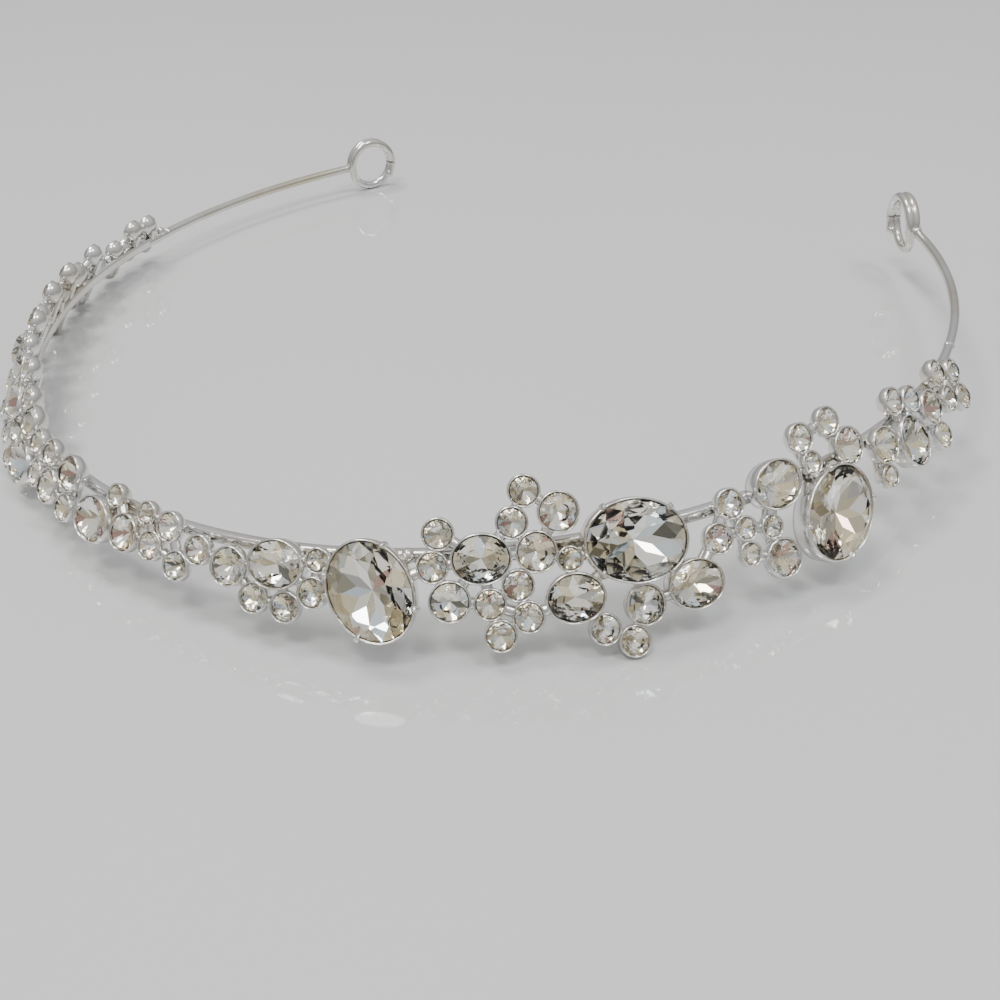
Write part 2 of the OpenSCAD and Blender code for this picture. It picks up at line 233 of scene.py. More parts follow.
def grown(name, tree, mesh, values):
    """The plain mesh that a tree makes of a mesh, with its named inputs set, as a new object."""
    carrier = bpy.data.objects.new(name + "_carrier", mesh)
    bpy.context.scene.collection.objects.link(carrier)
    modifier = carrier.modifiers.new("Nodes", "NODES")
    modifier.node_group = tree
    for item in tree.interface.items_tree:
        if item.in_out == "INPUT" and item.name in values:
            modifier[item.identifier] = values[item.name]
    depsgraph = bpy.context.evaluated_depsgraph_get()
    made = bpy.data.meshes.new_from_object(carrier.evaluated_get(depsgraph), preserve_all_data_layers=True,
                                           depsgraph=depsgraph)
    bpy.data.objects.remove(carrier)
    piece = bpy.data.objects.new(name, made)
    bpy.context.scene.collection.objects.link(piece)
    return piece


def metal_maths(graph, operation, first, second):
    """One Math node in a Geometry Nodes tree."""
    return graph.node("ShaderNodeMath", {"operation": operation}, {0: first, 1: second}).outputs[0]


FLARE_POWER = 4.0


def drawn_metal_tree():
    """Sweeps a rounded oblong along each line of a mesh. Flare swells a line's ends, as a fillet does."""
    graph, given = geometry_tree("drawn_metal", {
        "Width": "NodeSocketFloat", "Thickness": "NodeSocketFloat", "Rounding": "NodeSocketFloat",
        "Flare": "NodeSocketFloat", "Corner Steps": "NodeSocketInt", "Material": "NodeSocketMaterial"})
    lines = graph.node("GeometryNodeMeshToCurve", {}, {"Mesh": given["Geometry"]})
    upright = graph.node("GeometryNodeSetCurveNormal", {"mode": "Z_UP"}, {"Curve": lines})
    factor = graph.node("GeometryNodeSplineParameter").outputs["Factor"]
    from_start = metal_maths(graph, "MULTIPLY", factor, 2.0)
    from_middle = metal_maths(graph, "ABSOLUTE", metal_maths(graph, "SUBTRACT", from_start, 1.0), 0.0)
    near_end = metal_maths(graph, "POWER", from_middle, FLARE_POWER)
    swell = metal_maths(graph, "MULTIPLY", near_end, given["Flare"])
    sized = graph.node("GeometryNodeSetCurveRadius", {},
                       {"Curve": upright, "Radius": metal_maths(graph, "ADD", swell, 1.0)})
    oblong = graph.node("GeometryNodeCurvePrimitiveQuadrilateral", {"mode": "RECTANGLE"},
                        {"Width": given["Thickness"], "Height": given["Width"]})
    rounded = graph.node("GeometryNodeFilletCurve", {"mode": "POLY"}, {
        "Curve": oblong, "Radius": given["Rounding"], "Count": given["Corner Steps"]})
    swept = graph.node("GeometryNodeCurveToMesh", {},
                       {"Curve": sized, "Profile Curve": rounded, "Fill Caps": True})
    smooth = graph.node("GeometryNodeSetShadeSmooth", {}, {"Geometry": swept})
    realized = graph.node("GeometryNodeRealizeInstances", {}, {"Geometry": smooth})
    plated = graph.node("GeometryNodeSetMaterial", {},
                        {"Geometry": realized, "Material": given["Material"]})
    graph.node("NodeGroupOutput", {}, {"Geometry": plated})
    return graph.tree


def line_mesh(name, lines):
    """A mesh of separate lines, each a list of points."""
    points, edges = [], []
    for line in lines:
        first = len(points)
        points += line
        edges += [(first + i, first + i + 1) for i in range(len(line) - 1)]
    mesh = bpy.data.meshes.new(name)
    mesh.from_pydata(points, edges, [])
    return mesh


def steps(start, end, step):
    """Evenly spaced values from start to end, both of them included."""
    count = max(1, round(abs(end - start) / step))
    return [start + (end - start) * i / count for i in range(count + 1)]


DRAWN = drawn_metal_tree()
STRIP_PLATE = silver_plate("polished_silver_plate", tarnish=0.5, roughness=0.12, bumps=0.10)
# Share of a round wire's diameter that rounds its oblong, just under the half that would close it.
FULLY_ROUND = 0.499


def finish_metal(piece, node="silver_frame"):
    """A finished piece of the soldered metalwork, flattened where it would reach below its CAD solid."""
    lowest = cad_box[0][2]
    for corner in piece.data.vertices:
        corner.co.z = max(corner.co.z, lowest)
    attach(piece, "root")
    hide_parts(node)


strip = grown("headband_strip", DRAWN, line_mesh("strip_line", [
    [band_place(along) for along in steps(STRIP_FROM, STRIP_TO, STEP)]]),
    {"Width": STRIP_W, "Thickness": STRIP_T, "Rounding": STRIP_ROUNDING, "Flare": 0.0, "Corner Steps": 4,
     "Material": STRIP_PLATE})
strip.data.transform(RESTING)
finish_metal(strip)

# Wire ends: past the stones the strip goes over to round wire. Each end is curled twice round a rod, the
# second turn on the inner side, and the cut end is melted to a small ball. Solder closes the loop's root.
WIRE_D = 1.4
LOOP_D = 9.8
TURN_ASIDE = 0.95
BALL_D = 1.6
ROOT_BEAD_D = 2.1
STRIP_LAP = 2.0
RING_R = (LOOP_D - WIRE_D) / 2
FIRST_TURN, CROSSING_FROM, CROSSING_TO, LAST_TURN = 180, -110, -190, -395
TURN_STEP = 5


def loop_frame(side):
    """Axes of an end loop: along the band's run, up, and outwards, with the origin at its middle."""
    turn = band_turn(side * HALF_LEN)
    run = Vector((math.cos(turn), math.sin(turn), 0)) * side
    out = Vector((math.sin(turn), -math.cos(turn), 0))
    up = Vector((0, 0, 1))
    middle = band_place(side * HALF_LEN) + run * RING_R
    return Matrix.Translation(middle) @ Matrix((run, up, out)).transposed().to_4x4()


def loop_point(side, degrees, aside):
    """Point of an end loop at an angle around it, set aside towards its inner side."""
    angle = math.radians(degrees)
    return loop_frame(side) @ Vector((RING_R * math.cos(angle), RING_R * math.sin(angle), -aside))


def loop_line(side):
    """The curled wire from its root, once round, across to the inner side and round again to its ball."""
    points = []
    for degrees in range(FIRST_TURN, LAST_TURN - 1, -TURN_STEP):
        share = min(1, max(0, (CROSSING_FROM - degrees) / (CROSSING_FROM - CROSSING_TO)))
        aside = TURN_ASIDE * share * share * (3 - 2 * share)
        points.append(loop_point(side, degrees, aside))
    return points


def wire_line(side, strip_end):
    """The round wire from just inside the strip's end to the loop's root."""
    return [band_place(side * along) for along in steps(abs(strip_end) - STRIP_LAP, HALF_LEN, STEP)]


wires = grown("wire_ends", DRAWN, line_mesh("wire_lines", [
    wire_line(-1, STRIP_FROM), wire_line(1, STRIP_TO), loop_line(-1), loop_line(1)]),
    {"Width": WIRE_D, "Thickness": WIRE_D, "Rounding": WIRE_D * FULLY_ROUND, "Flare": 0.0,
     "Corner Steps": 4,
     "Material": silver_plate("wire_silver_plate", tarnish=0.9, roughness=0.12, bumps=0.05)})
wires.data.transform(RESTING)
finish_metal(wires)

# Cast cups: each stone sits in its own thin-walled cup of cast white metal, plated with the rest. The cups
# stand on the strip or on cast bars behind it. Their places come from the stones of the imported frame.
CUP_WALL = 0.22
STONE_GAP = 0.04
RIM_LAP = 0.2
RIM_SWELL = 0.1
ROUND_TAPER, OVAL_TAPER = 0.4, 0.04
FLOOR_T = 0.45
UNEVEN = 0.05
UNEVEN_SCALE = 900.0
# Share of the wall's thickness that rounds its edges.
EDGE_ROUNDING = 0.48
# Kinds of cup, in millimetres. Columns: outer width, depth from rim to back, sides.
WIDTH, DEPTH, SIDES = 0, 1, 2
CUP_KINDS = [(2.8, 1.9, 24), (3.5, 2.0, 28), (4.5, 2.2, 32), (5.5, 2.4, 40), (9.2, 3.1, 56)]
OVAL, LARGE = CUP_KINDS[-2:]
FLAT_ANGLE = math.radians(0.5)
SAME_POINT = 1e-6
ROUND_RATIO = 1.04
# Share of a stone's width, out from its axis, past which its corners belong to the girdle.
GIRDLE_FROM = 0.4

Seat = namedtuple("Seat", "table turn width length crown kind")


def seats_in(node):
    """The seats of a CAD node's stones: table's centre, own axes, width, length and crown, in metres."""
    shell = bmesh.new()
    shell.from_mesh(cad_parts[node].data)
    bmesh.ops.remove_doubles(shell, verts=shell.verts, dist=SAME_POINT)
    bmesh.ops.dissolve_limit(shell, angle_limit=FLAT_ANGLE, verts=shell.verts, edges=shell.edges)
    seats = []
    for start in shell.faces:
        if start.tag:
            continue
        start.tag = True
        stone, front = [start], [start]
        while front:
            near = {f for e in front.pop().edges for f in e.link_faces if not f.tag}
            for face in near:
                face.tag = True
            stone += near
            front += near
        seats.append(seat_of(stone))
    shell.free()
    return sorted(seats, key=lambda seat: tuple(round(c, 6) for c in seat.table))


def seat_of(stone):
    """A stone's seat, read from its faces."""
    table = max(stone, key=lambda face: len(face.verts))
    centre, out = table.calc_center_median(), table.normal.normalized()
    reach = [corner.co - centre for corner in table.verts]
    far = max(reach, key=lambda v: v.length)
    if far.length < ROUND_RATIO * min(v.length for v in reach):
        far = Vector((0, 0, 1))
    length_way = (far - out * far.dot(out)).normalized()
    if length_way.z < 0:
        length_way = -length_way
    turn = Matrix((length_way.cross(out), length_way, out)).transposed()
    local = [turn.transposed() @ (v.co - centre) for v in {v for face in stone for v in face.verts}]
    width = max(p.x for p in local) - min(p.x for p in local)
    length = max(p.y for p in local) - min(p.y for p in local)
    outer = width / MM + 2 * (CUP_WALL + STONE_GAP)
    kind = min(CUP_KINDS, key=lambda k: abs(k[WIDTH] - outer))
    girdle = min(-p.z for p in local if p.xy.length > GIRDLE_FROM * width)
    return Seat(centre, turn, width, length, girdle, kind)


STONE_NODES = sorted(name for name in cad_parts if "stone" in name)
SEATS = {node: seats_in(node) for node in STONE_NODES}
ALL_SEATS = [seat for node in STONE_NODES for seat in SEATS[node]]


def on_axis(seat, depth):
    """Point on a stone's axis, a depth in metres below its girdle's upper edge."""
    return seat.table - seat.turn.col[2] * (seat.crown + depth)


def cup_back(seat):
    """Middle of the back of a stone's cup."""
    return on_axis(seat, (seat.kind[DEPTH] - RIM_LAP) * MM)


def seat_points(name, seats, places, sizes):
    """A mesh of points, each with its turn and its size as attributes."""
    mesh = bpy.data.meshes.new(name)
    mesh.from_pydata(places, [], [])
    turns = [part for seat in seats for part in seat.turn.to_quaternion()]
    mesh.attributes.new("turn", "QUATERNION", "POINT").data.foreach_set("value", turns)
    parts = [part for size in sizes for part in size]
    mesh.attributes.new("size", "FLOAT_VECTOR", "POINT").data.foreach_set("vector", parts)
    return mesh


def named(graph, attribute, kind):
    """An attribute of the mesh, read by its name."""
    read = graph.node("GeometryNodeInputNamedAttribute", {"data_type": kind}, {"Name": attribute})
    return read.outputs[0]


def uneven(graph, mesh, scale, amount):
    """Pushes a mesh about by noise, so that cast metal isn't perfect."""
    noise = graph.node("ShaderNodeTexNoise", {}, {"Scale": scale, "Detail": 1.0}).outputs["Color"]
    centred = graph.node("ShaderNodeVectorMath", {"operation": "SUBTRACT"}, {0: noise, 1: (0.5, 0.5, 0.5)})
    offset = graph.node("ShaderNodeVectorMath", {"operation": "SCALE"}, {0: centred, "Scale": amount})
    return graph.node("GeometryNodeSetPosition", {}, {"Geometry": mesh, "Offset": offset})


def cup_tree():
    """A thin oval wall with a rounded rim on a closed back, its lower half narrowing, on each point."""
    graph, given = geometry_tree("cast_cup", {
        "Width": "NodeSocketFloat", "Length": "NodeSocketFloat", "Depth": "NodeSocketFloat",
        "Wall": "NodeSocketFloat", "Floor": "NodeSocketFloat", "Taper": "NodeSocketFloat",
        "Unevenness": "NodeSocketFloat", "Sides": "NodeSocketInt", "Material": "NodeSocketMaterial"})
    ring = graph.node("GeometryNodeCurvePrimitiveCircle", {}, {"Resolution": given["Sides"], "Radius": 0.5})
    across = metal_maths(graph, "SUBTRACT", given["Width"], given["Wall"])
    along = metal_maths(graph, "SUBTRACT", given["Length"], given["Wall"])
    oval = graph.node("ShaderNodeCombineXYZ", {}, {0: across, 1: along, 2: 1.0})
    middle = graph.node("ShaderNodeCombineXYZ", {},
                        {2: metal_maths(graph, "MULTIPLY", given["Depth"], 0.5)})
    path = graph.node("GeometryNodeTransform", {},
                      {"Geometry": ring, "Translation": middle, "Scale": oval})
    upright = graph.node("GeometryNodeSetCurveNormal", {"mode": "Z_UP"}, {"Curve": path})
    section = graph.node("GeometryNodeCurvePrimitiveQuadrilateral", {"mode": "RECTANGLE"},
                         {"Width": given["Wall"], "Height": given["Depth"]})
    edge_radius = metal_maths(graph, "MULTIPLY", given["Wall"], EDGE_ROUNDING)
    rounded = graph.node("GeometryNodeFilletCurve", {"mode": "POLY"},
                         {"Curve": section, "Radius": edge_radius, "Count": 1})
    halved = graph.node("GeometryNodeSubdivideCurve", {}, {"Curve": rounded, "Cuts": 1})
    wall = graph.node("GeometryNodeCurveToMesh", {}, {"Curve": upright, "Profile Curve": halved})
    back = graph.node("GeometryNodeMeshCylinder", {},
                      {"Vertices": given["Sides"], "Radius": 0.5, "Depth": given["Floor"]})
    back_up = graph.node("ShaderNodeCombineXYZ", {},
                         {2: metal_maths(graph, "MULTIPLY", given["Floor"], 0.5)})
    floor_plate = graph.node("GeometryNodeTransform", {},
                             {"Geometry": back, "Translation": back_up, "Scale": oval})
    cup = graph.node("GeometryNodeJoinGeometry")
    graph.tree.links.new(wall.outputs[0], cup.inputs[0])
    graph.tree.links.new(floor_plate.outputs[0], cup.inputs[0])
    place = graph.node("GeometryNodeInputPosition").outputs[0]
    height = graph.node("ShaderNodeSeparateXYZ", {}, {0: place}).outputs["Z"]
    share = metal_maths(graph, "DIVIDE", height, given["Depth"])
    from_half = metal_maths(graph, "MAXIMUM", metal_maths(graph, "SUBTRACT", 0.5, share), 0.0)
    below_half = metal_maths(graph, "MULTIPLY", from_half, 2.0)
    narrower = metal_maths(graph, "MULTIPLY", below_half, given["Taper"])
    shrink = metal_maths(graph, "SUBTRACT", 1.0, narrower)
    shrink_across = graph.node("ShaderNodeCombineXYZ", {}, {0: shrink, 1: shrink, 2: 1.0})
    drawn_in = graph.node("ShaderNodeVectorMath", {"operation": "MULTIPLY"}, {0: place, 1: shrink_across})
    tapered = graph.node("GeometryNodeSetPosition", {}, {"Geometry": cup, "Position": drawn_in})
    placed = graph.node("GeometryNodeInstanceOnPoints", {},
                        {"Points": given["Geometry"], "Instance": tapered,
                         "Rotation": named(graph, "turn", "QUATERNION")})
    realized = graph.node("GeometryNodeRealizeInstances", {}, {"Geometry": placed})
    cast = uneven(graph, realized, UNEVEN_SCALE, given["Unevenness"])
    smooth = graph.node("GeometryNodeSetShadeSmooth", {}, {"Geometry": cast})
    plated = graph.node("GeometryNodeSetMaterial", {}, {"Geometry": smooth, "Material": given["Material"]})
    graph.node("NodeGroupOutput", {}, {"Geometry": plated})
    return graph.tree


def joined(name, pieces):
    """Joins finished plain meshes into one piece."""
    shell = bmesh.new()
    materials = []
    for piece in pieces:
        start = len(shell.faces)
        shell.from_mesh(piece.data)
        shell.faces.ensure_lookup_table()
        for face in shell.faces[start:]:
            material = piece.data.materials[face.material_index]
            if material not in materials:
                materials.append(material)
            face.material_index = materials.index(material)
        bpy.data.objects.remove(piece)
    mesh = bpy.data.meshes.new(name)
    shell.to_mesh(mesh)
    shell.free()
    for material in materials:
        mesh.materials.append(material)
    piece = bpy.data.objects.new(name, mesh)
    bpy.context.scene.collection.objects.link(piece)
    return piece


CAST_PLATE = silver_plate("cast_silver_plate", tarnish=0.45, roughness=0.17, bumps=0.55)
CUPS = cup_tree()
cup_sets = []
for kind in CUP_KINDS:
    seats = [seat for seat in ALL_SEATS if seat.kind == kind]
    length = seats[0].length / MM + 2 * (CUP_WALL + STONE_GAP) + RIM_SWELL
    mesh = seat_points("cup_backs", seats, [cup_back(seat) for seat in seats], [(1, 1, 1)] * len(seats))
    cup_sets.append(grown("cups", CUPS, mesh, {
        "Width": (kind[WIDTH] + RIM_SWELL) * MM, "Length": length * MM, "Depth": kind[DEPTH] * MM,
        "Wall": CUP_WALL * MM, "Floor": FLOOR_T * MM, "Unevenness": UNEVEN * MM, "Sides": kind[SIDES],
        "Taper": OVAL_TAPER if kind in (OVAL, LARGE) else ROUND_TAPER, "Material": CAST_PLATE}))
cups = joined("cast_cups", cup_sets)
finish_metal(cups)

# Cast bars: behind the stones a tree of cast bars joins each cup to the next one further in, and at last
# to the strip. Short webs of metal that ran between cups in the mould close the gaps between neighbours.
BAR_D = 0.9
BAR_OUT = 0.7
LOOK_UP = math.radians(30)
WEB_W, WEB_T = 1.2, 1.3
WEB_ROUNDING = WEB_W * 0.42
WEB_DEPTH = 0.7
WEB_LAP = 0.12
BAR_PARTS, WEB_PARTS = 8, 4
BAR_FLARE, WEB_FLARE = 0.35, 0.5
WEB_REACH = 1.1
INNER_STEP = 0.5
SEARCH = 8.0
# A cup that reaches this far over the strip's middle stands on the strip and has no bar.
ON_STRIP = 0.2


def bar_spot(seat):
    """Where a cup's bar starts, at the cup's back, in the band's own flat frame."""
    return RESTING.inverted() @ cup_back(seat)


def height_of(spot):
    """Height of a bar's end above the strip's middle, in the tilted plane of the castings."""
    return (spot.z - BAR_OUT * math.sin(LOOK_UP)) / math.cos(LOOK_UP)


BAND_LINE = [band_place(along) for along in steps(STRIP_FROM, STRIP_TO, STEP / 2)]


def strip_under(spot):
    """The point of the strip nearest to a spot."""
    return min(BAND_LINE, key=lambda place: (place.xy - spot.xy).length)


def half_rim(seat):
    """Half the width and half the length of a seat's cup at its rim, in metres."""
    wall = (CUP_WALL + STONE_GAP) * MM
    return seat.width / 2 + wall, seat.length / 2 + wall


def rim_reach(seat, way):
    """Half width of a seat's cup towards a direction in the row's frame, in metres."""
    angle = math.atan2(way.dot(seat.turn.col[1]), way.dot(seat.turn.col[0]))
    wide, long = half_rim(seat)
    return wide * long / math.hypot(long * math.cos(angle), wide * math.sin(angle))


def rim_gap(seat, other):
    """Space between the rims of two cups, in metres."""
    way = on_axis(other, 0) - on_axis(seat, 0)
    return way.length - rim_reach(seat, way) - rim_reach(other, -way)


SPOTS = {id(seat): bar_spot(seat) for seat in ALL_SEATS}


def bar_goal(seat):
    """Where a cup's bar goes: the back of the nearest cup further in, or the strip."""
    spot = SPOTS[id(seat)]
    height = abs(height_of(spot))
    half = rim_reach(seat, Vector((0, 0, 1))) / MM
    if height < half - ON_STRIP:
        return None
    inner = [other for other in ALL_SEATS if abs(height_of(SPOTS[id(other)])) < height - INNER_STEP
             and (SPOTS[id(other)] - spot).length < SEARCH]
    nearest = min(inner, key=lambda other: rim_gap(seat, other), default=None)
    if nearest and rim_gap(seat, nearest) / MM < height - half:
        return SPOTS[id(nearest)]
    return strip_under(spot)


bar_lines = []
for seat in ALL_SEATS:
    goal = bar_goal(seat)
    if goal:
        start = SPOTS[id(seat)]
        bar_lines.append([start.lerp(goal, share) for share in steps(0, 1, 1 / BAR_PARTS)])
bars = grown("bars", DRAWN, line_mesh("bar_lines", bar_lines), {
    "Width": BAR_D, "Thickness": BAR_D, "Rounding": BAR_D * FULLY_ROUND, "Flare": BAR_FLARE,
    "Corner Steps": 3, "Material": CAST_PLATE})
bars.data.transform(RESTING)

web_lines, neighbours = [], []
for i, seat in enumerate(ALL_SEATS):
    for other in ALL_SEATS[i + 1:]:
        if (other.table - seat.table).length < 2 * SEARCH * MM and rim_gap(seat, other) < WEB_REACH * MM:
            neighbours.append((seat, other))
            way = on_axis(other, WEB_DEPTH * MM) - on_axis(seat, WEB_DEPTH * MM)
            near = (rim_reach(seat, way) - WEB_LAP * MM) / way.length
            far = 1 - (rim_reach(other, -way) - WEB_LAP * MM) / way.length
            web_lines.append([RESTING.inverted() @ (on_axis(seat, WEB_DEPTH * MM) + way * share)
                              for share in steps(near, far, (far - near) / WEB_PARTS)])
webs = grown("webs", DRAWN, line_mesh("web_lines", web_lines), {
    "Width": WEB_W, "Thickness": WEB_T, "Rounding": WEB_ROUNDING, "Flare": WEB_FLARE,
    "Corner Steps": 2, "Material": CAST_PLATE})
webs.data.transform(RESTING)
bars = joined("cast_bars", [bars, webs])
finish_metal(bars)

# Claws and solder: four rough claws are pushed over the rim of each large oval, beads of solder close the
# wire joints, and small grains of metal are left where the cups' rims meet. All of it is plated.
CLAW_ANGLES = (40, 140, 220, 320)
CLAW_SIZE = (0.95, 0.85, 1.6)
CLAW_SINK = 0.25
GRAIN_SIZE = (1, 1, 1.3)
GRAIN_D = 0.55
GRAIN_DEPTH = 0.55
# How far the lumps' skin is pushed about. Columns: distance, scale of the noise in the piece's own frame.
CLAW_ROUGH, GRAIN_ROUGH, BEAD_ROUGH = (0.55, 1300.0), (0.3, 2200.0), (0.22, 1.1)
# Solder beads. Columns: distance along the band, height above the strip's middle, diameter.
SOLDER = [(-109.6, 0.7, 1.5), (-109.2, -0.7, 1.5), (24.2, 0, 1.8), (53.5, -2.8, 1.5)]
SOLDER_OUT = 0.3
JOINT_BEAD_D, WIRE_BEAD_D = 1.62, 1.6
JOINT_ALONG = (-FRONT_LEN, FRONT_LEN)
WIRE_JOINT_ALONG = (-FRONT_LEN - SIDE_LEN, FRONT_LEN + SIDE_LEN)


def nub_tree():
    """A rough lump of metal on each point, with the point's turn and size."""
    graph, given = geometry_tree("rough_nub", {
        "Detail": "NodeSocketInt", "Roughness": "NodeSocketFloat", "Roughness Scale": "NodeSocketFloat",
        "Material": "NodeSocketMaterial"})
    ball = graph.node("GeometryNodeMeshIcoSphere", {}, {"Radius": 0.5, "Subdivisions": given["Detail"]})
    placed = graph.node("GeometryNodeInstanceOnPoints", {},
                        {"Points": given["Geometry"], "Instance": ball.outputs["Mesh"],
                         "Rotation": named(graph, "turn", "QUATERNION"),
                         "Scale": named(graph, "size", "FLOAT_VECTOR")})
    realized = graph.node("GeometryNodeRealizeInstances", {}, {"Geometry": placed})
    rough = uneven(graph, realized, given["Roughness Scale"], given["Roughness"])
    smooth = graph.node("GeometryNodeSetShadeSmooth", {}, {"Geometry": rough})
    plated = graph.node("GeometryNodeSetMaterial", {}, {"Geometry": smooth, "Material": given["Material"]})
    graph.node("NodeGroupOutput", {}, {"Geometry": plated})
    return graph.tree


NUBS = nub_tree()
SOLDER_PLATE = silver_plate("solder_silver_plate", tarnish=0.35, roughness=0.12, bumps=0.7)

claw_seats, claw_places, claw_sizes = [], [], []
for seat in ALL_SEATS:
    if seat.kind == LARGE:
        wide, long = half_rim(seat)
        for degrees in CLAW_ANGLES:
            angle = math.radians(degrees)
            at_rim = Vector((wide * math.cos(angle), long * math.sin(angle), -(CLAW_SINK * MM)))
            claw_seats.append(seat)
            claw_places.append(on_axis(seat, 0) + seat.turn @ at_rim)
            claw_sizes.append(Vector(CLAW_SIZE) * MM)
claws = grown("claws", NUBS, seat_points("claw_places", claw_seats, claw_places, claw_sizes), {
    "Detail": 4, "Roughness": CLAW_ROUGH[0] * MM, "Roughness Scale": CLAW_ROUGH[1],
    "Material": SOLDER_PLATE})

grain_seats, grain_places, grain_sizes = [], [], []
for seat, other in neighbours:
    way = on_axis(other, GRAIN_DEPTH * MM) - on_axis(seat, GRAIN_DEPTH * MM)
    share = (rim_reach(seat, way) + rim_gap(seat, other) / 2) / way.length
    grain_seats.append(seat)
    grain_places.append(on_axis(seat, GRAIN_DEPTH * MM) + way * share)
    grain_sizes.append(Vector(GRAIN_SIZE) * GRAIN_D * MM)
grains = grown("grains", NUBS, seat_points("grain_places", grain_seats, grain_places, grain_sizes), {
    "Detail": 2, "Roughness": GRAIN_ROUGH[0] * MM, "Roughness Scale": GRAIN_ROUGH[1],
    "Material": SOLDER_PLATE})


def solder_place(along, up):
    """Place of a solder bead in the tilted plane of the castings."""
    tilted = Matrix.Rotation(band_turn(along), 3, "Z") @ Matrix.Rotation(-LOOK_UP, 3, "X")
    return band_place(along) + tilted @ Vector((0, -SOLDER_OUT, up))


beads = [(solder_place(along, up), size) for along, up, size in SOLDER]
beads += [(band_place(along), JOINT_BEAD_D) for along in JOINT_ALONG]
beads += [(band_place(along), WIRE_BEAD_D) for along in WIRE_JOINT_ALONG]
for side in (-1, 1):
    beads.append((loop_point(side, FIRST_TURN, 0), ROOT_BEAD_D))
    beads.append((loop_point(side, LAST_TURN, TURN_ASIDE), BALL_D))
bead_seats = [ALL_SEATS[0]] * len(beads)
bead_places, bead_sizes = [place for place, size in beads], [(size,) * 3 for place, size in beads]
solder = grown("solder", NUBS, seat_points("bead_places", bead_seats, bead_places, bead_sizes), {
    "Detail": 4, "Roughness": BEAD_ROUGH[0], "Roughness Scale": BEAD_ROUGH[1], "Material": SOLDER_PLATE})
solder.data.transform(RESTING)
nubs = joined("claws_and_solder", [claws, grains, solder])
finish_metal(nubs)

# Cut stones: machine-cut glass, clear or faintly champagne, with a large flat table and kite facets. A
# mirror foil on the pavilion throws the light back out, and each facet catches another part of the room.
# Its grey and dark facets are painted shade, and its brown and blue ones painted reflections of the room.
ROUND_CORNERS, LARGE_CORNERS = 8, 10
ROUND_CROWN, ROUND_PAVILION = (0.56, 0.80, 1.0), (0.0, 0.42, 1.0)
LARGE_CROWN, LARGE_PAVILION = (0.66, 0.84, 1.0), (0.0, 0.36, 0.70, 1.0)
ROUND_DEPTH, LARGE_DEPTH = 1.35, 1.45
ROUND_GIRDLE, LARGE_GIRDLE = 0.28, 0.14
TURN_SHARE = 0.382


def facet_heights(corners, radii):
    """Drop of each ring of corners, set half a step from the last, that keeps every kite facet flat."""
    narrow = math.cos(math.pi / corners)
    drops = [0.0, 1.0]
    for k in range(2, len(radii)):
        slope = (drops[k - 1] - drops[k - 2]) / (radii[k - 1] * narrow - radii[k - 2])
        drops.append(drops[k - 2] + slope * (radii[k] - radii[k - 2]))
    return [drop / drops[-1] for drop in drops]


def cut_stone(name, corners, crown, pavilion, girdle, depth):
    """Master stone of width 1, length 1 and crown height 1, its girdle's upper edge at height 0."""
    shell = bmesh.new()
    foil = shell.faces.layers.float.new("foil")
    steps_round = 2 * corners

    def ring(radius, height, half_steps):
        return {j: shell.verts.new((radius / 2 * math.cos(math.pi * j / corners),
                                    radius / 2 * math.sin(math.pi * j / corners), height))
                for j in half_steps}

    def facet(verts, is_foil):
        shell.faces.new(verts)[foil] = float(is_foil)

    upper = ring(1.0, 0.0, range(steps_round))
    lower = ring(1.0, -girdle, range(steps_round))
    for j in range(steps_round):
        k = (j + 1) % steps_round
        facet([lower[j], lower[k], upper[k], upper[j]], False)
    for radii, top, fall, girdle_ring, is_foil in (
            (crown, 1.0, -1.0, upper, False), (pavilion, -girdle - depth, depth, lower, True)):
        drops = facet_heights(corners, radii)
        last = len(radii) - 1
        rings = []
        for k in range(last):
            offset = (last - k) % 2
            if radii[k] == 0:
                culet = shell.verts.new((0, 0, top))
                rings.append({j: culet for j in range(offset, steps_round, 2)})
            else:
                rings.append(ring(radii[k], top + fall * drops[k], range(offset, steps_round, 2)))
        rings.append(girdle_ring)
        if radii[0] > 0:
            facet([rings[0][j] for j in sorted(rings[0])], is_foil)
            for j in rings[0]:
                facet([rings[0][j], rings[1][(j + 1) % steps_round],
                       rings[0][(j + 2) % steps_round]], is_foil)
        for k in range(last - 1):
            for j in rings[k]:
                left, right = (j - 1) % steps_round, (j + 1) % steps_round
                facet([rings[k][j], rings[k + 1][left], rings[k + 2][j], rings[k + 1][right]], is_foil)
        for j in rings[last - 1]:
            left, right = (j - 1) % steps_round, (j + 1) % steps_round
            facet([rings[last - 1][j], girdle_ring[left], girdle_ring[j]], is_foil)
            facet([rings[last - 1][j], girdle_ring[j], girdle_ring[right]], is_foil)
    bmesh.ops.recalc_face_normals(shell, faces=shell.faces)
    mesh = bpy.data.meshes.new(name)
    shell.to_mesh(mesh)
    shell.free()
    master = bpy.data.objects.new(name, mesh)
    bpy.context.scene.collection.objects.link(master)
    return master


